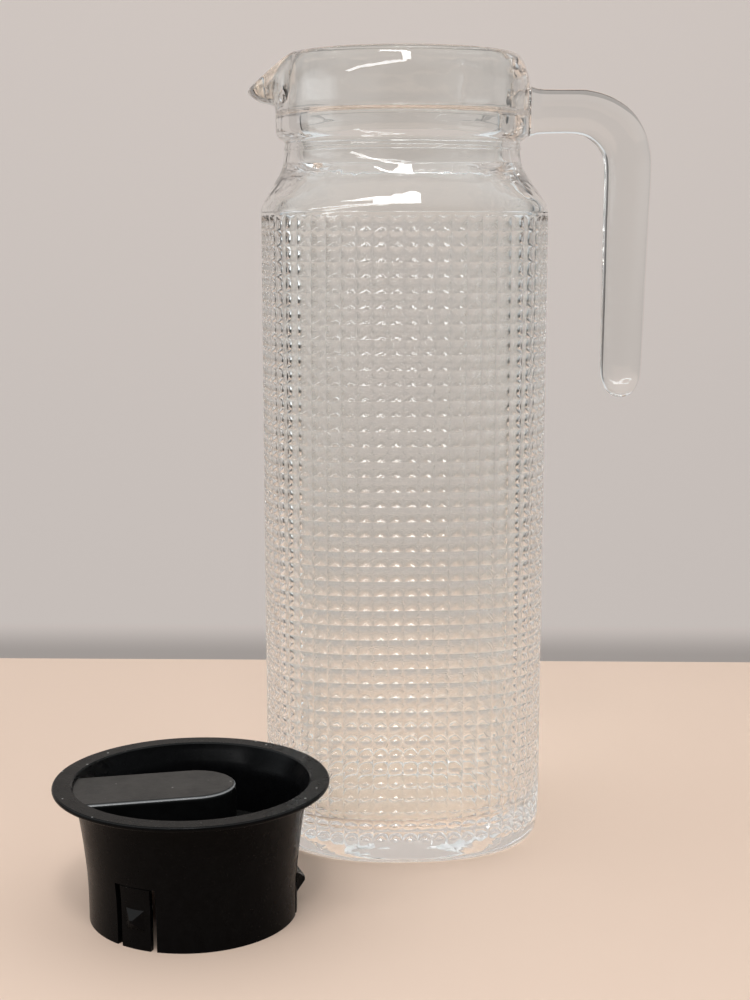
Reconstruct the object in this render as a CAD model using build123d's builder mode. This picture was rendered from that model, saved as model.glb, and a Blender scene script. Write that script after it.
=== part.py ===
from build123d import *
import os
from math import cos, sin, radians, pi, degrees

# Glass fridge jug: rounded-square glass vessel with a pouring lip, an
# open-ended glass hook handle and a black moulded lid that stands beside it.
# Millimetres. +Z up. Origin: centre of the jug's base on the table.
# The pouring lip points to -X, the handle to +X, the lid stands front left.

# ---- driving dimensions: glass vessel -------------------------------------
body_half = 44.05       # half the width across flats at the shoulder
foot_half = 43.9        # the same just above the foot
body_n = 3.3            # squareness of the straight sides' section (2 = circle)
foot_n = 3.2            # and just above the foot
shoulder_z = 196.5      # top of the straight sides
collar_z0 = 219.3       # underside of the collar
rim_z = 245.0           # top of the rim
wall = 3.6              # side wall
base_t = 8.5            # thick base
neck_r = 36.6           # outside of the neck
neck_bore_r = 31.5      # inside of the neck, where the lid plugs in
neck_bore_z1 = 227.0    # ledge between the neck bore and the mouth
mouth_r = 34.7          # inside of the mouth
collar_r = 39.3         # outside of the collar

# ---- driving dimensions: handle --------------------------------------------
arm_top_z = 235.2
arm_bot_z = 221.7
leg_in_x = 63.8
leg_out_x = 78.0
leg_end_z = 139.3
handle_depth = 14.4     # size along Y
handle_round = 5.2

# ---- driving dimensions: lid -------------------------------------------------
lid_x, lid_y = -64.2, -73.4
lid_h = 39.0            # overall height, standing on its skirt
flange_r = 39.0
flange_t = 1.5
recess_r = 33.4         # inner edge of the flange
skirt_r = 29.5          # outside of the skirt at its foot
skirt_t = 1.7
floor_z = 18.6          # underside of the recess floor
floor_t = 1.5
grip_a = 9.7            # direction of the finger bar about the lid axis
grip_w = 24.0
grip_top_z = 37.7
catch_a0 = -28.7        # first snap tongue, measured from -Y towards +X
tongue_half_a = 8.9     # half the angle a tongue spans
slot_a = 3.4            # angle of each slot beside a tongue
slot_z = 17.8           # top of the slots
boss_w = 6.6
boss_h = 6.6
boss_z = 8.6
boss_out = 2.3


def section_pts(a, n, count=64):
    """Points round a rounded-square section of half-width a."""
    pts = []
    for i in range(count):
        t = 2 * pi * i / count
        c, s = cos(t), sin(t)
        r = (abs(c) ** n + abs(s) ** n) ** (-1.0 / n)
        pts.append((a * r * c, a * r * s))
    return pts


# ---- glass_body ---------------------------------------------------------------
# sections as (height, half-width, squareness), from the foot up
outer = [(0.0, 40.8, 2.4), (0.4, 42.2, 2.45), (1.3, 43.3, 2.55), (3.1, 43.8, 2.7),
         (6.0, foot_half, 2.9), (9.5, foot_half, 3.08), (14.0, foot_half, foot_n), (20.0, foot_half, body_n),
         (75.0, 43.95, body_n), (135.0, 44.0, body_n), (shoulder_z, body_half, body_n),
         (198.0, 44.0, 3.28), (199.2, 43.75, 3.2), (200.4, 43.25, 3.1), (201.8, 42.5, 2.97), (203.4, 41.6, 2.8),
         (205.0, 40.65, 2.63), (206.6, 39.7, 2.47), (208.2, 38.75, 2.32), (209.8, 37.95, 2.18), (211.4, 37.3, 2.08),
         (213.0, 36.9, 2.02), (216.0, 36.2, 2.0)]
inner = [(base_t, 30.5, 2.4), (9.0, 33.4, 2.5), (10.0, 36.0, 2.6), (11.6, 38.0, 2.8), (13.6, 39.5, 3.0), (16.0, foot_half - wall, 3.17), (22.0, foot_half - wall, 3.25),
         (75.0, 43.95 - wall, 3.27), (135.0, 44.0 - wall, 3.27), (195.0, body_half - wall, 3.27),
         (197.4, 40.3, 3.2), (199.4, 39.7, 3.05), (201.4, 38.5, 2.85), (203.4, 37.2, 2.62), (205.4, 35.9, 2.4),
         (207.4, 34.4, 2.2), (209.4, 32.8, 2.06), (211.2, 31.45, 2.0), (213.0, 30.4, 2.0)]

with BuildPart() as glass_body:
    # outside: foot, sides, shoulder
    for z, a, n in outer:
        with BuildSketch(Plane.XY.offset(z)):
            with BuildLine():
                Spline(*section_pts(a, n), periodic=True)
            make_face()
    loft(ruled=True)
    # neck and collar, turned
    with BuildSketch(Plane.XZ):
        with BuildLine():
            Polyline((0, 200), (neck_r - 1.2, 200), (neck_r, 206), (neck_r, collar_z0))
            Spline((neck_r, collar_z0), (38.4, 220.2), (collar_r, 222.6), tangents=((1, 0), (0, 1)))
            Line((collar_r, 222.6), (collar_r, 235.4))
            Spline((collar_r, 235.4), (38.5, 240.2), (35.6, rim_z), tangents=((0, 1), (-1, 0.05)))
            Polyline((35.6, rim_z), (0, rim_z), (0, 200))
        make_face()
    revolve(axis=Axis.Z)
    # pouring lip drawn out of the collar towards -X
    for x, z0, z1, hw in ((-32.0, 223.4, 245.0, 16.5), (-39.4, 229.2, 241.9, 12.6),
                          (-43.4, 230.9, 239.4, 8.6), (-46.0, 232.7, 237.3, 5.0), (-47.7, 234.3, 236.0, 2.4)):
        with BuildSketch(Plane(origin=(x, 0, (z0 + z1) / 2), x_dir=(0, -1, 0), z_dir=(-1, 0, 0))):
            Ellipse(hw, (z1 - z0) / 2)
    loft()
    # inside: base, sides, shoulder
    for z, a, n in inner:
        with BuildSketch(Plane.XY.offset(z)):
            with BuildLine():
                Spline(*section_pts(a, n), periodic=True)
            make_face()
    loft(ruled=True, mode=Mode.SUBTRACT)
    # neck bore, ledge and mouth, turned
    with BuildSketch(Plane.XZ):
        with BuildLine():
            Polyline((0, 198), (neck_bore_r - 1.5, 198), (neck_bore_r, 204), (neck_bore_r, neck_bore_z1 - 1.0),
                     (mouth_r, neck_bore_z1 + 1.2), (mouth_r, 243.0), (35.6, rim_z + 1), (0, rim_z + 1), (0, 198))
        make_face()
    revolve(axis=Axis.Z, mode=Mode.SUBTRACT)
    # trough of the pouring lip
    for x, zb, hw in ((-30.0, 233.6, 11.5), (-39.4, 233.4, 8.8), (-44.0, 234.2, 5.0), (-48.6, 235.6, 1.8)):
        with BuildSketch(Plane(origin=(x, 0, zb + 9), x_dir=(0, -1, 0), z_dir=(-1, 0, 0))):
            Ellipse(hw, 9)
    loft(mode=Mode.SUBTRACT)
    # the rim falls away towards the tip of the lip
    with BuildSketch(Plane.XZ):
        with BuildLine():
            Polyline((-31.5, 247.0), (-33.8, rim_z), (-38.0, 242.6), (-43.6, 239.2), (-49.5, 234.9), (-52, 236), (-52, 250), (-31.5, 247.0))
        make_face()
    extrude(amount=20, both=True, mode=Mode.SUBTRACT)
glass_body.part.label = "glass_body"

# ---- glass_handle: a solid rod, hot-joined to the collar, open at its lower end --
with BuildPart() as glass_handle:
    with BuildSketch(Plane.XZ):
        with BuildLine():
            l1 = Line((36.0, arm_top_z), (56.6, arm_top_z))
            l2 = Spline((56.6, arm_top_z), (72.2, 228.6), (leg_out_x, 213.5), tangents=((1, 0), (0, -1)))
            l3 = Line((leg_out_x, 213.5), (76.3, 147.5))
            l4 = Spline((76.3, 147.5), (70.2, leg_end_z), (64.0, 145.6), tangents=((-0.02, -1), (0, 1)))
            l5 = Line((64.0, 145.6), (leg_in_x, 212.0))
            l6 = Spline((leg_in_x, 212.0), (61.0, 218.9), (54.1, arm_bot_z), tangents=((0, 1), (-1, 0)))
            l7 = Line((54.1, arm_bot_z), (36.0, arm_bot_z))
            l8 = Line((36.0, arm_bot_z), (36.0, arm_top_z))
        make_face()
    extrude(amount=handle_depth / 2, both=True)
    side_edges = glass_handle.edges().filter_by(lambda e: abs(abs(e.center().Y) - handle_depth / 2) < 0.01 and e.center().X > 36.5)
    fillet(side_edges, radius=handle_round)
    # the root follows the round collar
    with BuildSketch(Plane.XY.offset(210)):
        Circle(collar_r)
    extrude(amount=40, mode=Mode.SUBTRACT)
glass_handle.part.label = "glass_handle"


# ---- lid ------------------------------------------------------------------------
def lid_pt(a, r, z=0.0):
    """Point at angle a from -Y towards +X about the lid axis."""
    return (lid_x + r * sin(radians(a)), lid_y - r * cos(radians(a)), z)


lid_xz = Plane(origin=(lid_x, lid_y, 0), x_dir=(1, 0, 0), z_dir=(0, -1, 0))
lid_axis = Axis((lid_x, lid_y, 0), (0, 0, 1))
lid_base = Plane(origin=(lid_x, lid_y, 0), x_dir=(1, 0, 0), z_dir=(0, 0, 1))
grip_base = Plane(origin=(lid_x, lid_y, 0), x_dir=(cos(radians(grip_a)), sin(radians(grip_a)), 0), z_dir=(0, 0, 1))
catch_angles = [catch_a0 + 120 * i for i in range(3)]


def skirt_outside():
    """Outside line of the skirt from its foot up to the flange."""
    return [(skirt_r, 0.0), (skirt_r + 0.1, 10.0), (30.3, 19.0), (31.4, 28.0), (32.6, 34.0), (34.4, lid_h - flange_t)]


with BuildPart() as lid_cup:
    # flange, flared wall and skirt, turned in one
    with BuildSketch(lid_xz):
        with BuildLine():
            Line((skirt_r - skirt_t, 0), (skirt_r, 0))
            Spline(*skirt_outside(), tangents=((0, 1), (1, 0.6)))
            Line((34.4, lid_h - flange_t), (flange_r - 0.5, lid_h - flange_t))
            ThreePointArc((flange_r - 0.5, lid_h - flange_t), (flange_r, lid_h - flange_t / 2), (flange_r - 0.5, lid_h))
            Line((flange_r - 0.5, lid_h), (recess_r + 0.4, lid_h))
            Line((recess_r + 0.4, lid_h), (recess_r, lid_h - 0.4))
            Spline((recess_r, lid_h - 0.4), (31.1, 34.0), (29.8, 28.0), (28.6, 19.0), (skirt_r - skirt_t, 8.0),
                   tangents=((-0.35, -1), (0, -1)))
            Line((skirt_r - skirt_t, 8.0), (skirt_r - skirt_t, 0))
        make_face()
    revolve(axis=lid_axis)
    # floor of the recess
    with BuildSketch(lid_base.offset(floor_z)):
        Circle(29.2)
    extrude(amount=floor_t)
    # the finger bar is hollow, open through the floor
    with BuildSketch(grip_base.offset(floor_z - 1)):
        with BuildLine():
            hw = grip_w / 2 - 2.2
            Line((-26.0, hw), (0.5, hw))
            ThreePointArc((0.5, hw), (0.5 + hw, 0), (0.5, -hw))
            Polyline((0.5, -hw), (-26.0, -hw), (-26.0, hw))
        make_face()
    extrude(amount=floor_t + 2, mode=Mode.SUBTRACT)
    # slots and windows for the three snap tongues
    for a in catch_angles:
        with BuildSketch(lid_base.offset(-1)):
            with BuildLine():
                r0, r1 = 26.0, 33.0
                h = tongue_half_a + slot_a
                p = [(r0 * sin(radians(a - h)), -r0 * cos(radians(a - h))), (r1 * sin(radians(a - h)), -r1 * cos(radians(a - h))),
                     (r1 * 1.05 * sin(radians(a)), -r1 * 1.05 * cos(radians(a))),
                     (r1 * sin(radians(a + h)), -r1 * cos(radians(a + h))), (r0 * sin(radians(a + h)), -r0 * cos(radians(a + h)))]
                Polyline(*p, p[0])
            make_face()
        extrude(amount=slot_z + 1, mode=Mode.SUBTRACT)
lid_cup.part.label = "lid_cup"

# finger bar: hollow tongue across the recess, carried by the floor and one wall
with BuildPart() as lid_grip:
    with BuildSketch(grip_base.offset(floor_z + floor_t)):
        with BuildLine():
            hw = grip_w / 2
            Line((-34, hw), (0.5, hw))
            ThreePointArc((0.5, hw), (0.5 + hw, 0), (0.5, -hw))
            Polyline((0.5, -hw), (-34, -hw), (-34, hw))
        make_face()
    extrude(amount=grip_top_z - floor_z - floor_t)
    top_edges = lid_grip.edges().group_by(Axis.Z)[-1].filter_by(lambda e: (e.center() - Vector(lid_x, lid_y, grip_top_z)).length < 30)
    fillet(top_edges, radius=1.2)
    # core
    with BuildSketch(grip_base.offset(floor_z + floor_t - 1)):
        with BuildLine():
            hw = grip_w / 2 - 2.2
            Line((-26.0, hw), (0.5, hw))
            ThreePointArc((0.5, hw), (0.5 + hw, 0), (0.5, -hw))
            Polyline((0.5, -hw), (-26.0, -hw), (-26.0, hw))
        make_face()
    extrude(amount=grip_top_z - floor_z - floor_t + 1 - 2.0, mode=Mode.SUBTRACT)
    # the root follows the flared wall of the cup
    with BuildSketch(lid_xz):
        with BuildLine():
            Polyline((60, lid_h + 2), (recess_r + 0.5, lid_h + 2), (recess_r, lid_h - 0.4))
            Spline((recess_r, lid_h - 0.4), (31.1, 34.0), (29.8, 28.0), (28.6, 19.0), (skirt_r - skirt_t, 8.0),
                   tangents=((-0.35, -1), (0, -1)))
            Polyline((skirt_r - skirt_t, 8.0), (60, 8.0), (60, lid_h + 2))
        make_face()
    revolve(axis=lid_axis, mode=Mode.SUBTRACT)
lid_grip.part.label = "lid_grip"

# three snap tongues, each with a square pyramid boss, flexing at their roots
gap = 0.3
catches = []
for k, (a, name) in enumerate(zip(catch_angles, ("lid_catch_front", "lid_catch_right", "lid_catch_back"))):
    boss_plane = Plane(origin=lid_pt(a, skirt_r - 0.4, boss_z),
                       x_dir=(cos(radians(a)), sin(radians(a)), 0),
                       z_dir=(sin(radians(a)), -cos(radians(a)), 0))
    with BuildPart() as catch:
        with BuildSketch(lid_xz):
            with BuildLine():
                Polyline((skirt_r - skirt_t, 0), (skirt_r, 0), (skirt_r + 0.1, 10.0))
                Spline((skirt_r + 0.1, 10.0), (29.75, 14.0), (30.12, slot_z - gap), tangents=((0.02, 1), (0.1, 1)))
                Polyline((30.12, slot_z - gap), (28.5, slot_z - gap), (skirt_r - skirt_t, 8.0), (skirt_r - skirt_t, 0))
            make_face()
        revolve(axis=lid_axis)
        with BuildSketch(lid_base.offset(-1)):
            with BuildLine():
                h = tongue_half_a
                q = [(20 * sin(radians(a - h)), -20 * cos(radians(a - h))), (36 * sin(radians(a - h)), -36 * cos(radians(a - h))),
                     (36 * sin(radians(a + h)), -36 * cos(radians(a + h))), (20 * sin(radians(a + h)), -20 * cos(radians(a + h)))]
                Polyline(*q, q[0])
            make_face()
        extrude(amount=slot_z + 2, mode=Mode.INTERSECT)
        with BuildSketch(boss_plane):
            Rectangle(boss_w, boss_h)
        with BuildSketch(boss_plane.offset(boss_out + 0.4)):
            Rectangle(0.9, 0.9)
        loft()
    catch.part.label = name
    catches.append(catch)

os.makedirs("parts", exist_ok=True)
export_step(glass_body.part, "parts/glass_body.step")
export_step(glass_handle.part, "parts/glass_handle.step")
export_step(lid_cup.part, "parts/lid_cup.step")
export_step(lid_grip.part, "parts/lid_grip.step")
for c in catches:
    export_step(c.part, "parts/" + c.part.label + ".step")
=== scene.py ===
import math
import bpy
import bmesh
import numpy as np
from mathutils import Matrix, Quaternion, Vector
from mathutils.kdtree import KDTree


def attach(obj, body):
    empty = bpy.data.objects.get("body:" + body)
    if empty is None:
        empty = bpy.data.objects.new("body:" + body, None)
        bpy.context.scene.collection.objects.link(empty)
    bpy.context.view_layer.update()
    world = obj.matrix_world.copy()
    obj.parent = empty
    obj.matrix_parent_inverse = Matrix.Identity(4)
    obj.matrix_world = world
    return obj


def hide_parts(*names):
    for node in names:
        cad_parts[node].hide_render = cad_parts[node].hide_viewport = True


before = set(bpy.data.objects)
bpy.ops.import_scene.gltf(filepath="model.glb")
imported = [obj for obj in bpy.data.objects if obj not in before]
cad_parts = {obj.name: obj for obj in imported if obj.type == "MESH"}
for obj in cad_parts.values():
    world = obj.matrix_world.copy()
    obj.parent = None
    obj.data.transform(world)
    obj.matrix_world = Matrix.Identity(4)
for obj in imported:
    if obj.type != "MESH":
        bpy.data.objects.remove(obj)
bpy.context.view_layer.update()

MM = 0.001
scene = bpy.context.scene

# ---- camera: solved from the photograph's outlines ---------------------------
cam_data = bpy.data.cameras.new("camera")
cam_data.sensor_width = 36.0
cam_data.lens = 59.11
cam_data.clip_start, cam_data.clip_end = 0.02, 20.0
cam = bpy.data.objects.new("camera", cam_data)
scene.collection.objects.link(cam)
cam.location = (-0.0356, -0.5209, 0.1916)
cam.rotation_euler = (math.radians(90 - 9.28), 0.0, math.radians(-2.98))
scene.camera = cam


# ---- small geometry helpers ------------------------------------------------------
def new_object(name, verts, faces, smooth=True):
    me = bpy.data.meshes.new(name)
    me.from_pydata([tuple(float(c) for c in v) for v in verts], [], faces)
    me.validate(clean_customdata=False)
    me.update()
    ob = bpy.data.objects.new(name, me)
    scene.collection.objects.link(ob)
    if smooth:
        me.polygons.foreach_set("use_smooth", [True] * len(me.polygons))
    return ob


def curve_through(pts, steps):
    """Smooth curve (centripetal Catmull-Rom) through rows of numbers; steps per span."""
    p = np.asarray(pts, float)
    if np.isscalar(steps):
        steps = [steps] * (len(p) - 1)
    ext = np.vstack([2 * p[0] - p[1], p, 2 * p[-1] - p[-2]])
    out = [p[0]]
    for i in range(len(p) - 1):
        a, b, c, d = ext[i:i + 4]
        t0 = 0.0
        t1 = t0 + max(np.linalg.norm((b - a)[:2]) ** 0.5, 1e-6)
        t2 = t1 + max(np.linalg.norm((c - b)[:2]) ** 0.5, 1e-6)
        t3 = t2 + max(np.linalg.norm((d - c)[:2]) ** 0.5, 1e-6)
        for k in range(1, steps[i] + 1):
            t = t1 + (t2 - t1) * k / steps[i]
            a1 = (t1 - t) / (t1 - t0) * a + (t - t0) / (t1 - t0) * b
            a2 = (t2 - t) / (t2 - t1) * b + (t - t1) / (t2 - t1) * c
            a3 = (t3 - t) / (t3 - t2) * c + (t - t2) / (t3 - t2) * d
            b1 = (t2 - t) / (t2 - t0) * a1 + (t - t0) / (t2 - t0) * a2
            b2 = (t3 - t) / (t3 - t1) * a2 + (t - t1) / (t3 - t1) * a3
            out.append((t2 - t) / (t2 - t1) * b1 + (t - t1) / (t2 - t1) * b2)
    return np.array(out)


T = np.linspace(-math.pi / 2, 1.5 * math.pi, 4097)


def section(a, n, u):
    """Points of a rounded-square section of half-width a, at the fractions u of its length from -Y towards +X."""
    r = a * (np.abs(np.cos(T)) ** n + np.abs(np.sin(T)) ** n) ** (-1.0 / n)
    x, y = r * np.cos(T), r * np.sin(T)
    s = np.concatenate([[0.0], np.cumsum(np.hypot(np.diff(x), np.diff(y)))])
    v = np.mod(u, 1.0) * s[-1]
    return np.interp(v, s, x), np.interp(v, s, y)


# ---- glass jug: one skin, outside and inside, in millimetres ----------------------
CELLS_U, CELLS_Z = 66, 42            # relief cells round the section and up the side
CELL_H, RELIEF_Z0 = 4.48, 8.22
LIP_SINE = 0.68                      # sine of the steepest tilt, at the upper and lower edge of a hollow
INSET = 0.12                         # the ridges lie this much below the plain glass above them
COL = np.array([0.0, 0.12, 0.5, 0.88])
ROW = np.array([0.0, 0.06, 0.17, 0.33, 0.56, 0.85])
HALF = CELL_H / 2
ARC = HALF / LIP_SINE                # radius of the hollow in the upright plane
DEPTH = ARC - math.sqrt(ARC ** 2 - HALF ** 2)
cols = len(COL) * CELLS_U

u_full = ((np.arange(CELLS_U)[:, None] - 0.5 + COL[None, :]) / CELLS_U).ravel()
cell_x = np.tile(COL, CELLS_U)

side = np.array([(8.22, 43.9, 3.02), (14.0, 43.9, 3.2), (20.0, 43.9, 3.3), (75.0, 43.95, 3.3), (135.0, 44.0, 3.3), (196.5, 44.05, 3.3)])


def hollow(x, y):
    """Depth across a cell, 0 on its edges: round-bottomed hollows between sharp ridges."""
    arc = math.sqrt(ARC ** 2 - (HALF * (2 * y - 1)) ** 2) - math.sqrt(ARC ** 2 - HALF ** 2)
    return arc * (1 - (2 * x - 1) ** 2)


rings = []        # each: (xs, ys, zs) in mm


def ring(z, a, n, u=None):
    x, y = section(a, n, u_full if u is None else u)
    rings.append([x, y, np.full(len(x), z)])


# underside: shallow punt, resting ring, foot
u_half, u_quarter = u_full[::2], u_full[::4]
under = curve_through([(7.0, 1.05), (16.0, 1.0), (26.0, 0.85), (33.0, 0.55), (37.0, 0.18), (39.3, 0.0)], 2)
under[:, 1] = np.maximum(under[:, 1], 0.0)
n_quarter = 7
for k, (a, z) in enumerate(under):
    ring(z, a, 2.0 + 0.4 * (a / 39.3), u_quarter if k < n_quarter else u_half if k < n_quarter + 2 else None)
foot = curve_through([(39.3, 0.0, 2.4), (40.8, 0.02, 2.4), (42.2, 0.4, 2.45), (43.3, 1.3, 2.55), (43.8, 3.1, 2.7), (43.9, 6.0, 2.9)], 2)
foot[:, 1] = np.maximum(foot[:, 1], 0.0)
for a, z, n in foot[1:]:
    ring(z, a, n)

# relief
RELIEF_RING = len(rings)
frame_at = []     # outward direction of the section along each relief ring
for r in range(CELLS_Z):
    for y in ROW:
        z = RELIEF_Z0 + (r + y) * CELL_H
        a = np.interp(z, side[:, 0], side[:, 1])
        n = np.interp(z, side[:, 0], side[:, 2])
        x0, y0 = section(a, n, u_full)
        # normal direction of the section
        gx = np.sign(x0) * np.abs(x0) ** (n - 1)
        gy = np.sign(y0) * np.abs(y0) ** (n - 1)
        g = np.hypot(gx, gy)
        frame_at.append(np.column_stack([gx / g, gy / g]))
        inset = INSET * min(1.0, (z - 6.0) / 6.0)
        d = inset + hollow(cell_x, y)
        rings.append([x0 - gx / g * d, y0 - gy / g * d, np.full(cols, z)])
frame_at.append(frame_at[-1])
ring(RELIEF_Z0 + CELLS_Z * CELL_H, 44.05 - INSET, 3.3)

# shoulder, neck, collar, rim
ring(197.15, 44.05 - INSET, 3.3)
ring(197.3, 44.05 - INSET * 0.7, 3.3)
ring(197.42, 44.05 - INSET * 0.2, 3.3)
ring(197.6, 44.03, 3.29)
shoulder = curve_through([(44.03, 197.6, 3.29), (43.97, 198.2, 3.27), (43.72, 199.3, 3.2), (43.22, 200.5, 3.1), (42.5, 201.8, 2.97), (41.6, 203.4, 2.8),
                          (40.65, 205.0, 2.63), (39.7, 206.6, 2.47), (38.75, 208.2, 2.32), (37.95, 209.8, 2.18), (37.3, 211.4, 2.08),
                          (36.92, 213.0, 2.02), (36.72, 214.6, 2.0)], [1, 2, 2, 1, 1, 1, 1, 2, 2, 2, 1, 1])
for a, z, n in shoulder[1:]:
    ring(z, a, n)
neck = [(36.62, 215.3), (36.6, 215.8), (36.68, 216.2), (36.86, 216.7), (36.68, 217.2), (36.6, 217.6), (36.6, 218.6), (36.75, 219.15), (37.3, 219.45), (38.2, 220.0), (38.9, 221.0), (39.22, 222.1),
        (39.3, 223.4), (39.3, 225.5), (39.3, 227.6)]
for a, z in neck:
    ring(z, a, 2.0)

# collar above the bead, rim and mouth: (radius, height) away from the lip and on the lip's centre line
lip = [((39.3, 229.3), (39.5, 229.9)), ((39.3, 231.0), (41.0, 230.7)), ((39.3, 232.6), (43.0, 231.7)), ((39.3, 234.2), (45.1, 232.9)),
       ((39.28, 235.8), (46.7, 234.0)), ((39.1, 237.4), (47.5, 234.85)), ((38.8, 239.0), (47.7, 235.5)), ((38.3, 240.6), (47.55, 236.1)),
       ((37.75, 242.0), (47.1, 236.55)), ((37.1, 243.3), (46.5, 236.7)), ((36.4, 244.4), (45.8, 236.5)), ((35.85, 244.9), (44.9, 236.0)),
       ((35.4, 244.98), (43.8, 235.3)), ((35.0, 244.7), (42.6, 234.7)), ((34.78, 244.1), (41.2, 234.1)), ((34.7, 243.1), (39.8, 233.6)),
       ((34.7, 240.6), (38.2, 233.1)), ((34.7, 237.8), (36.8, 232.6)), ((34.7, 235.0), (35.7, 231.9)), ((34.7, 232.4), (35.0, 230.8)),
       ((34.7, 230.2), (34.75, 229.6)), ((34.68, 228.3), (34.68, 228.3)), ((34.5, 227.7), (34.5, 227.7)), ((34.0, 227.42), (34.0, 227.42))]
phi = (np.mod(u_full, 1.0) - 0.75 + 0.5) % 1.0 - 0.5       # -X lies at three quarters of the way round
phi = np.degrees(phi * 2 * math.pi)
for k, ((r0, z0), (r1, z1)) in enumerate(lip):
    half = 23.0 - 5.0 * min(max((k - 11) / 8.0, 0.0), 1.0)  # the trough is narrower than the outside
    w = np.where(np.abs(phi) < half, np.cos(np.pi * phi / (2 * half)) ** 1.7, 0.0)
    wz = np.where(np.abs(phi) < half - 1, np.cos(np.pi * phi / (2 * (half - 1))) ** 2, 0.0)
    r = r0 + (r1 - r0) * w
    z1 = z1 - 1.4 * min(max((r1 - 40.0) / 4.0, 0.0), 1.0)
    z = z0 + (z1 - z0) * wz
    cx, cy = section(1.0, 2.0, u_full)
    rings.append([cx * r, cy * r, z])

# ledge, neck bore, inside of the shoulder, sides and base
bore = [(33.2, 227.3), (32.3, 227.2), (31.8, 226.95), (31.55, 226.5), (31.5, 225.6), (31.5, 222.0), (31.5, 215.0), (31.5, 211.2)]
for a, z in bore:
    ring(z, a, 2.0)
inner = curve_through([(31.5, 211.2, 2.0), (32.8, 209.4, 2.06), (34.4, 207.4, 2.2), (35.9, 205.4, 2.4), (37.2, 203.4, 2.62), (38.5, 201.4, 2.85), (39.7, 199.4, 3.05),
                       (40.3, 197.4, 3.2), (40.45, 194.5, 3.27)], 2)
for k, (a, z, n) in enumerate(inner[1:]):
    ring(z, a, n, u_full if k < 6 else u_half)
for a, z, n in ((40.43, 165.0, 3.27), (40.4, 135.0, 3.27), (40.37, 105.0, 3.27), (40.35, 75.0, 3.27), (40.32, 48.0, 3.26), (40.3, 26.0, 3.25), (40.3, 18.0, 3.2)):
    ring(z, a, n, u_half)
well = curve_through([(40.3, 18.0, 3.2), (40.1, 15.6, 3.12), (39.35, 13.2, 2.97), (37.9, 11.4, 2.78), (35.8, 10.0, 2.6), (33.2, 9.1, 2.5), (29.5, 8.6, 2.4),
                      (22.0, 8.5, 2.2), (13.0, 8.5, 2.0), (6.0, 8.5, 2.0)], [2, 2, 2, 2, 2, 2, 1, 1, 1])
for k, (a, z, n) in enumerate(well[1:]):
    ring(z, a, n, u_half if k < 10 else u_quarter)


def skin(rings):
    """Closes the list of rings into one mesh; neighbours have the same count or one twice the other."""
    verts, faces, starts = [], [], []
    for x, y, z in rings:
        starts.append((len(verts), len(x)))
        verts.extend(zip(x, y, z))
    for (s0, m0), (s1, m1) in zip(starts, starts[1:]):
        if m0 == m1:
            for j in range(m0):
                k = (j + 1) % m0
                faces.append((s0 + j, s0 + k, s1 + k, s1 + j))
        elif m1 == 2 * m0:
            for j in range(m0):
                k, c, d = (j + 1) % m0, 2 * j, (2 * j + 2) % m1
                faces.append((s0 + j, s1 + c + 1, s1 + c))
                faces.append((s0 + j, s0 + k, s1 + c + 1))
                faces.append((s0 + k, s1 + d, s1 + c + 1))
        else:
            for j in range(m1):
                k, c, d = (j + 1) % m1, 2 * j, (2 * j + 2) % m0
                faces.append((s0 + c, s0 + c + 1, s1 + j))
                faces.append((s0 + c + 1, s1 + k, s1 + j))
                faces.append((s0 + c + 1, s0 + d, s1 + k))
    for (s, m), flip in ((starts[0], True), (starts[-1], False)):
        c = len(verts)
        x, y, z = rings[0 if flip else -1]
        verts.append((0.0, 0.0, float(np.mean(z))))
        for j in range(m):
            k = (j + 1) % m
            faces.append((c, s + k, s + j) if flip else (c, s + j, s + k))
    return np.array(verts) * MM, faces


jug_verts, jug_faces = skin(rings)
jug = new_object("jug_glass", jug_verts, jug_faces)


# ---- glass handle, joined into the collar ----------------------------------------------
def handle_path():
    """Outer and inner edge lines of the handle in XZ, from which the centre line and the half height across it are
    taken.
    """
    outer = [(37.2, 235.2), (44.0, 235.2), (56.6, 235.2), (64.5, 233.2), (71.6, 228.6), (76.0, 221.8), (78.0, 213.5), (77.55, 196.0), (77.1, 180.0),
             (76.7, 164.0), (76.3, 148.5)]
    inner_ = [(37.2, 221.7), (44.0, 221.7), (54.1, 221.7), (58.2, 220.6), (61.2, 218.2), (63.0, 215.6), (63.8, 211.6), (63.84, 196.0), (63.88, 180.0),
              (63.92, 164.0), (63.96, 148.5)]
    return np.array(outer), np.array(inner_)


ho, hi = handle_path()
ho = curve_through(ho, [3, 3, 4, 4, 4, 4, 3, 3, 3, 3])
hi = curve_through(hi, [3, 3, 4, 4, 4, 4, 3, 3, 3, 3])
ho[:, 0] = np.minimum(ho[:, 0], 78.0)
ho[:, 1] = np.minimum(ho[:, 1], 235.2)
K = 40
ang = np.linspace(0, 2 * math.pi, K, endpoint=False)
h_rings = []
for i, (po, pi_) in enumerate(zip(ho, hi)):
    c = (po + pi_) / 2
    v = (po - pi_) / 2
    flare = 1.0 + 0.16 * math.exp(-((max(po[0] - 38.8, 0.0)) / 2.2) ** 1.5) if i < 8 else 1.0
    m = 3.0
    ca, sa = np.cos(ang), np.sin(ang)
    q = (np.abs(ca) ** m + np.abs(sa) ** m) ** (-1 / m)
    h_rings.append(np.column_stack([c[0] + v[0] * q * ca * flare, 7.2 * q * sa * flare, c[1] + v[1] * q * ca * flare]))
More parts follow.
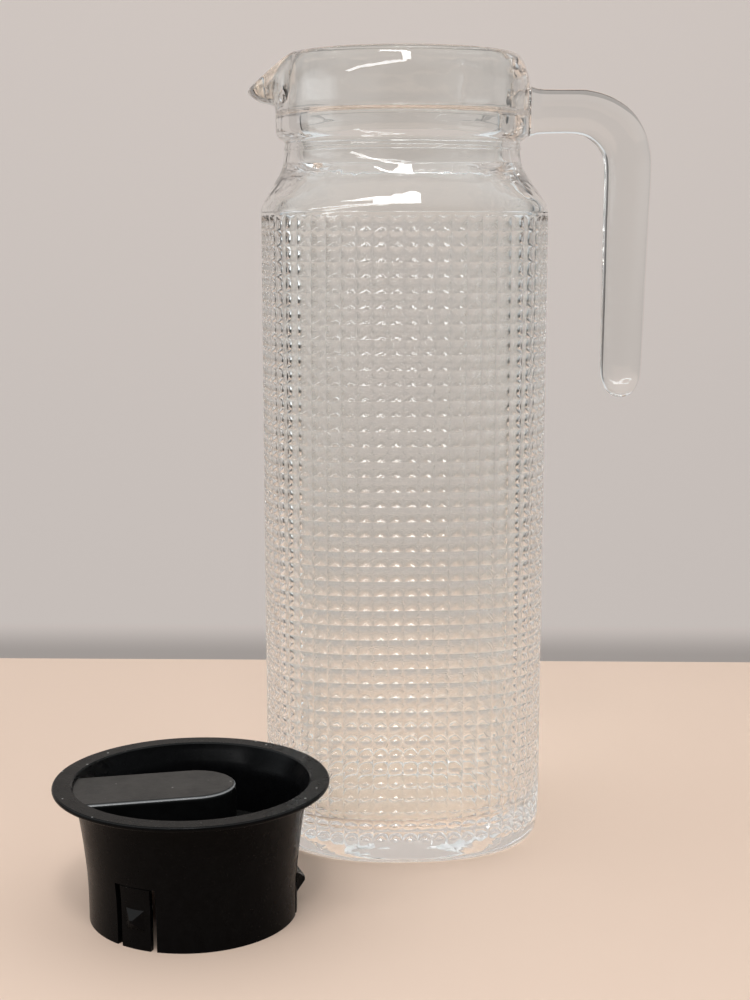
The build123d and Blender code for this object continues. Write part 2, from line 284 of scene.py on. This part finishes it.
# rounded lower end
c_end, v_end = (ho[-1] + hi[-1]) / 2, (ho[-1] - hi[-1]) / 2
for k in range(1, 9):
    t = math.pi / 2 * k / 8.6
    sc, dz = math.cos(t) ** 0.8, math.sin(t)
    ca, sa = np.cos(ang), np.sin(ang)
    m = 3.0 - 0.9 * k / 8
    q = (np.abs(ca) ** m + np.abs(sa) ** m) ** (-1 / m)
    h_rings.append(np.column_stack([c_end[0] + v_end[0] * q * ca * sc, 7.2 * q * sa * sc, np.full(K, c_end[1] - dz * (148.5 - 139.3))]))
hv, hf = [], []
for r in h_rings:
    hv.extend(r)
for i in range(len(h_rings) - 1):
    for j in range(K):
        k = (j + 1) % K
        hf.append((i * K + j, i * K + k, (i + 1) * K + k, (i + 1) * K + j))
hv.append(h_rings[0].mean(0))
hv.append((c_end[0], 0.0, 139.3))
for j in range(K):
    k = (j + 1) % K
    hf.append((len(hv) - 2, k, j))
    hf.append((len(hv) - 1, (len(h_rings) - 1) * K + j, (len(h_rings) - 1) * K + k))
handle = new_object("handle_tool", np.array(hv) * MM, hf)


def face_outwards(ob):
    bm = bmesh.new()
    bm.from_mesh(ob.data)
    bmesh.ops.recalc_face_normals(bm, faces=bm.faces[:])
    bm.to_mesh(ob.data)
    bm.free()


face_outwards(jug)
face_outwards(handle)
mod = jug.modifiers.new("join", "BOOLEAN")
mod.operation = "UNION"
mod.object = handle
mod.solver = "MANIFOLD"
dg = bpy.context.evaluated_depsgraph_get()
joined = bpy.data.meshes.new_from_object(jug.evaluated_get(dg))
jug.modifiers.clear()
old = jug.data
jug.data = joined
joined.name = "jug_glass"
bpy.data.meshes.remove(old)
bpy.data.objects.remove(handle)
jug.data.polygons.foreach_set("use_smooth", [True] * len(jug.data.polygons))


def relief_normals(me):
    """True normals on the hollows, taken cell by cell so that the ridges between them stay crisp."""
    first = sum(len(r[0]) for r in rings[:RELIEF_RING])
    rows = len(ROW) * CELLS_Z + 1
    tree = KDTree(rows * cols)
    for i in range(rows * cols):
        tree.insert(jug_verts[first + i], i)
    tree.balance()
    grid = {}
    for v in me.vertices:
        _, i, dist = tree.find(v.co)
        if dist < 2e-6:
            grid[v.index] = (i // cols, i % cols)
    pitch = 6.841 * 44.0 / CELLS_U
    out = [(0.0, 0.0, 0.0)] * len(me.loops)
    for poly in me.polygons:
        at = [grid.get(v) for v in poly.vertices]
        if None in at:
            continue
        js = [j for _, j in at]
        if max(js) - min(js) > cols // 2:
            js = [j + cols if j < cols // 2 else j for j in js]
        ks = [k for k, _ in at]
        c, r = min(js) // len(COL), min(ks) // len(ROW)
        if max(js) - c * len(COL) > len(COL) or max(ks) - r * len(ROW) > len(ROW):
            continue
        for loop, j, k in zip(poly.loop_indices, js, ks):
            x = 1.0 if j - c * len(COL) == len(COL) else COL[j - c * len(COL)]
            y = 1.0 if k - r * len(ROW) == len(ROW) else ROW[k - r * len(ROW)]
            t = 2 * y - 1
            root = math.sqrt(ARC ** 2 - (HALF * t) ** 2)
            dz = -HALF * t / root * (1 - (2 * x - 1) ** 2)
            du = (root - math.sqrt(ARC ** 2 - HALF ** 2)) * (-4 * (2 * x - 1)) / pitch
            nx, ny = frame_at[k][j % cols]
            out[loop] = Vector((nx - du * ny, ny + du * nx, dz)).normalized()[:]
    me.normals_split_custom_set(out)


relief_normals(jug.data)
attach(jug, "jug")
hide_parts("glass_body", "glass_handle")
print("jug faces", len(jug.data.polygons), "tris", sum(len(p.vertices) - 2 for p in jug.data.polygons))


# ---- materials ----------------------------------------------------------------------------
def material(name):
    m = bpy.data.materials.new(name)
    m.use_nodes = True
    nt = m.node_tree
    nt.nodes.clear()
    out = nt.nodes.new("ShaderNodeOutputMaterial")
    bsdf = nt.nodes.new("ShaderNodeBsdfPrincipled")
    nt.links.new(bsdf.outputs[0], out.inputs[0])
    return m, nt, bsdf


def object_coords(nt):
    tc = nt.nodes.new("ShaderNodeTexCoord")
    return tc.outputs["Object"]


def noise(nt, vec, scale, detail=3.0, rough=0.5):
    n = nt.nodes.new("ShaderNodeTexNoise")
    n.inputs["Scale"].default_value = scale
    n.inputs["Detail"].default_value = detail
    n.inputs["Roughness"].default_value = rough
    nt.links.new(vec, n.inputs["Vector"])
    return n.outputs["Fac"]


def ramp(nt, fac, stops):
    r = nt.nodes.new("ShaderNodeValToRGB")
    el = r.color_ramp.elements
    while len(el) > 1:
        el.remove(el[0])
    el[0].position, el[0].color = stops[0][0], stops[0][1]
    for pos, colr in stops[1:]:
        e = el.new(pos)
        e.color = colr
    nt.links.new(fac, r.inputs[0])
    return r.outputs[0]


def grey(v):
    return (v, v, v, 1.0)


glass, nt, bsdf = material("clear_glass")
bsdf.inputs["Transmission Weight"].default_value = 1.0
bsdf.inputs["IOR"].default_value = 1.5
oc = object_coords(nt)
cloud = noise(nt, oc, 38.0, 3.0, 0.5)
nt.links.new(ramp(nt, cloud, [(0.3, (0.950, 0.958, 0.946, 1.0)), (0.7, (0.962, 0.968, 0.958, 1.0))]), bsdf.inputs["Base Color"])
nt.links.new(ramp(nt, cloud, [(0.55, grey(0.0)), (0.8, grey(0.02))]), bsdf.inputs["Roughness"])
bump = nt.nodes.new("ShaderNodeBump")
bump.inputs["Strength"].default_value = 0.35
bump.inputs["Distance"].default_value = 0.0006
nt.links.new(noise(nt, oc, 95.0, 2.0, 0.45), bump.inputs["Height"])
nt.links.new(bump.outputs[0], bsdf.inputs["Normal"])
# clear glass casts only a faint shadow
clear = nt.nodes.new("ShaderNodeBsdfTransparent")
clear.inputs["Color"].default_value = (0.86, 0.87, 0.87, 1.0)
path = nt.nodes.new("ShaderNodeLightPath")
mix = nt.nodes.new("ShaderNodeMixShader")
nt.links.new(path.outputs["Is Shadow Ray"], mix.inputs[0])
nt.links.new(bsdf.outputs[0], mix.inputs[1])
nt.links.new(clear.outputs[0], mix.inputs[2])
nt.links.new(mix.outputs[0], nt.nodes["Material Output"].inputs[0])
jug.data.materials.clear()
jug.data.materials.append(glass)

def black_plastic(name, skin_tone, top_tone, edge_highlight_tone, level, rough_lo, rough_hi, grain):
    """Black moulded plastic: grained, duller and a little dusty on its upward faces, with a painted highlight on its
    rounded edges.
    """
    m, nt, bsdf = material(name)
    oc = object_coords(nt)
    geo = nt.nodes.new("ShaderNodeNewGeometry")
    sep = nt.nodes.new("ShaderNodeSeparateXYZ")
    nt.links.new(geo.outputs["Normal"], sep.inputs[0])
    upward = ramp(nt, sep.outputs["Z"], [(0.80, grey(0.0)), (0.97, grey(1.0))])
    dust = ramp(nt, noise(nt, oc, 420.0, 4.0, 0.7), [(0.35, grey(0.7)), (0.7, grey(1.3))])
    tone = nt.nodes.new("ShaderNodeMix")
    tone.data_type = "RGBA"
    tone.inputs[6].default_value = skin_tone
    tone.inputs[7].default_value = top_tone
    nt.links.new(upward, tone.inputs[0])
    mul = nt.nodes.new("ShaderNodeMix")
    mul.data_type = "RGBA"
    mul.blend_type = "MULTIPLY"
    mul.inputs[0].default_value = 1.0
    nt.links.new(tone.outputs[2], mul.inputs[6])
    nt.links.new(dust, mul.inputs[7])
    # a few light specks of dust
    cells = nt.nodes.new("ShaderNodeTexVoronoi")
    cells.inputs["Scale"].default_value = 620.0
    nt.links.new(oc, cells.inputs["Vector"])
    near = ramp(nt, cells.outputs["Distance"], [(0.16, grey(1.0)), (0.24, grey(0.0))])
    pick = nt.nodes.new("ShaderNodeSeparateXYZ")
    nt.links.new(cells.outputs["Color"], pick.inputs[0])
    few = ramp(nt, pick.outputs["X"], [(0.955, grey(0.0)), (0.965, grey(1.0))])
    speck = nt.nodes.new("ShaderNodeMath")
    speck.operation = "MULTIPLY"
    nt.links.new(near, speck.inputs[0])
    nt.links.new(few, speck.inputs[1])
    speck_up = nt.nodes.new("ShaderNodeMath")
    speck_up.operation = "MULTIPLY"
    nt.links.new(speck.outputs[0], speck_up.inputs[0])
    nt.links.new(upward, speck_up.inputs[1])
    final = nt.nodes.new("ShaderNodeMix")
    final.data_type = "RGBA"
    final.inputs[7].default_value = (0.34, 0.33, 0.31, 1.0)
    nt.links.new(speck_up.outputs[0], final.inputs[0])
    nt.links.new(mul.outputs[2], final.inputs[6])
    # rounded edges are smoother, and lighter in colour as a painted highlight along them
    edge_highlight_and_gloss = ramp(nt, sep.outputs["Z"], [(0.50, grey(0.0)), (0.58, grey(1.0)), (0.72, grey(1.0)), (0.90, grey(0.0))])
    painted_edge_highlight = nt.nodes.new("ShaderNodeMix")
    painted_edge_highlight.data_type = "RGBA"
    painted_edge_highlight.inputs[7].default_value = grey(edge_highlight_tone)
    nt.links.new(edge_highlight_and_gloss, painted_edge_highlight.inputs[0])
    nt.links.new(final.outputs[2], painted_edge_highlight.inputs[6])
    nt.links.new(painted_edge_highlight.outputs[2], bsdf.inputs["Base Color"])
    bsdf.inputs["IOR"].default_value = 1.45
    bsdf.inputs["Specular IOR Level"].default_value = level
    rough = ramp(nt, noise(nt, oc, 140.0, 5.0, 0.6), [(0.3, grey(rough_lo)), (0.7, grey(rough_hi))])
    smooth = nt.nodes.new("ShaderNodeMix")
    smooth.inputs[3].default_value = 0.14
    nt.links.new(edge_highlight_and_gloss, smooth.inputs[0])
    nt.links.new(rough, smooth.inputs[2])
    nt.links.new(smooth.outputs[0], bsdf.inputs["Roughness"])
    bump = nt.nodes.new("ShaderNodeBump")
    bump.inputs["Strength"].default_value = grain
    bump.inputs["Distance"].default_value = 0.0002
    nt.links.new(noise(nt, oc, 1800.0, 3.0, 0.6), bump.inputs["Height"])
    nt.links.new(bump.outputs[0], bsdf.inputs["Normal"])
    return m


# the third number of each is the colour of the painted highlight on rounded edges
satin = black_plastic("black_plastic", (0.0022, 0.0022, 0.0024, 1.0), (0.010, 0.0098, 0.0092, 1.0), 0.016, 0.055, 0.22, 0.32, 0.10)
grained = black_plastic("black_plastic_grained", (0.0024, 0.0024, 0.0024, 1.0), (0.019, 0.0185, 0.017, 1.0), 0.26, 0.26, 0.34, 0.46, 0.30)
for name in ("lid_cup", "lid_grip", "lid_catch_front", "lid_catch_right", "lid_catch_back"):
    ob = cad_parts[name]
    ob.data.materials.clear()
    ob.data.materials.append(grained if name == "lid_grip" else satin)


# ---- stage: plain pale floor and wall ----------------------------------------------------
def stage_material(name, colour, roughness):
    m, nt, b = material(name)
    b.inputs["Base Color"].default_value = colour
    b.inputs["Roughness"].default_value = roughness
    b.inputs["Specular IOR Level"].default_value = 0.2
    return m, nt, b


FLOOR, WALL = (0.745, 0.568, 0.455), (0.755, 0.675, 0.630)
TURN = math.radians(-4.2)            # the wall stands a little askew to the jug


def stage_point(x, y, z):
    return (x * math.cos(TURN) - y * math.sin(TURN), 0.2007 + x * math.sin(TURN) + y * math.cos(TURN), z)


floor = new_object("floor", [stage_point(-0.60, -1.3, 0), stage_point(0.60, -1.3, 0), stage_point(0.60, 0, 0), stage_point(-0.60, 0, 0)], [(0, 1, 2, 3)], smooth=False)
floor.data.materials.append(stage_material("floor", (*FLOOR, 1.0), 0.6)[0])
# the wall stands well behind the floor's far edge, clear of a viewer at the back
def wall_point(x, z):
    eye = Vector((-0.0356, -0.5209, 0.1916))
    return tuple(eye + 2.4 * (Vector(stage_point(x, 0, z)) - eye))


wall = new_object("wall", [wall_point(-0.75, -0.22), wall_point(0.75, -0.22), wall_point(0.75, 0.9), wall_point(-0.75, 0.9)], [(0, 3, 2, 1)], smooth=False)
wall_mat, nt, bsdf = stage_material("wall", (*WALL, 1.0), 0.8)
# painted shadow: a soft dark band where the wall meets the floor, in the wall's colour and in its faint glow
sep = nt.nodes.new("ShaderNodeSeparateXYZ")
nt.links.new(object_coords(nt), sep.inputs[0])
contact_shadow_fade = nt.nodes.new("ShaderNodeMapRange")
contact_shadow_fade.interpolation_type = "SMOOTHSTEP"
nt.links.new(sep.outputs["Z"], contact_shadow_fade.inputs["Value"])
for key, val in (("From Min", -0.263), ("From Max", -0.225), ("To Min", 0.0), ("To Max", 1.0)):
    contact_shadow_fade.inputs[key].default_value = val
painted_contact_shadow = ramp(nt, contact_shadow_fade.outputs["Result"], [(0.0, tuple(0.62 * c for c in WALL) + (1.0,)), (1.0, (*WALL, 1.0))])
nt.links.new(painted_contact_shadow, bsdf.inputs["Base Color"])
nt.links.new(painted_contact_shadow, bsdf.inputs["Emission Color"])
bsdf.inputs["Emission Strength"].default_value = 0.36
wall.data.materials.append(wall_mat)


# ---- light: a bright room, darker low down at the sides and in front, with three soft panels --
world = bpy.data.worlds.new("room")
scene.world = world
world.use_nodes = True
wn = world.node_tree
bg = wn.nodes["Background"]
wtc = wn.nodes.new("ShaderNodeTexCoord")


def wmath(op, a, b=None):
    n = wn.nodes.new("ShaderNodeMath")
    n.operation = op
    for k, v in enumerate((a, b)):
        if v is None:
            continue
        if isinstance(v, (int, float)):
            n.inputs[k].default_value = v
        else:
            wn.links.new(v, n.inputs[k])
    return n.outputs[0]


def wdot(direction):
    n = wn.nodes.new("ShaderNodeVectorMath")
    n.operation = "DOT_PRODUCT"
    wn.links.new(wtc.outputs["Generated"], n.inputs[0])
    n.inputs[1].default_value = Vector(direction).normalized()
    return n.outputs["Value"]


def wrange(v, a, b, c, d):
    n = wn.nodes.new("ShaderNodeMapRange")
    n.interpolation_type = "SMOOTHSTEP"
    wn.links.new(v, n.inputs["Value"])
    for key, val in (("From Min", a), ("From Max", b), ("To Min", c), ("To Max", d)):
        n.inputs[key].default_value = val
    return n.outputs["Result"]


up = wrange(wdot((0, 0, 1)), -0.1, 0.85, 0.45, 0.94)
level = wrange(wdot((0, 0, 1)), 0.20, 0.42, 0.0, 1.0)
hidden = wrange(wdot((1, 0, 0)), -0.3, 0.3, 0.03, 0.15)
beside = wrange(wdot((0, 1, 0)), 0.27, 0.34, 1.0, 0.0)
beside = wmath("MAXIMUM", beside, hidden)
beside = wmath("MAXIMUM", beside, level)
window = wmath("MULTIPLY", wrange(wdot((-1, 0, 0)), 0.90, 0.95, 0.0, 1.0), wrange(wdot((0, 0, 1)), 0.0, 0.05, 0.0, 1.0))
dark = wrange(wdot((0.05, -1, 0.12)), 0.84, 0.95, 1.0, 0.06)      # the room is darker behind the camera
front = wrange(wdot((0, -1, 0)), 0.1, 0.9, 1.0, 0.62)
below = wrange(wdot((0, 0, 1)), -0.06, -0.01, 0.12, 1.0)
tone = wmath("MULTIPLY", wmath("MULTIPLY", wmath("MULTIPLY", up, dark), front), wmath("MULTIPLY", beside, below))
tone = wmath("ADD", tone, wmath("MULTIPLY", window, 1.3))
bg.inputs["Color"].default_value = (0.95, 1.0, 1.03, 1.0)
wn.links.new(tone, bg.inputs["Strength"])


def area(name, loc, target, size, size_y, power, roll=0.0):
    li = bpy.data.lights.new(name, "AREA")
    li.shape = "RECTANGLE"
    li.size, li.size_y = size, size_y
    li.energy = power
    ob = bpy.data.objects.new(name, li)
    scene.collection.objects.link(ob)
    ob.location = loc
    turn = (Vector(target) - Vector(loc)).to_track_quat("-Z", "Y") @ Quaternion((0.0, 0.0, 1.0), math.radians(roll))
    ob.rotation_euler = turn.to_euler()
    return ob


area("strip", (0.02, -0.97, 1.40), (0.0, -0.02, 0.2), 0.20, 0.44, 4.6)
area("side", (-0.60, -1.00, 0.98), (0.0, 0.0, 0.2), 1.35, 0.11, 5.9, 26)
area("top", (-0.22, -0.67, 1.45), (0.0, 0.0, 0.2), 0.46, 0.06, 2.4)

scene.view_settings.view_transform = "Standard"
scene.cycles.max_bounces = 24
scene.cycles.transmission_bounces = 24
scene.cycles.glossy_bounces = 16
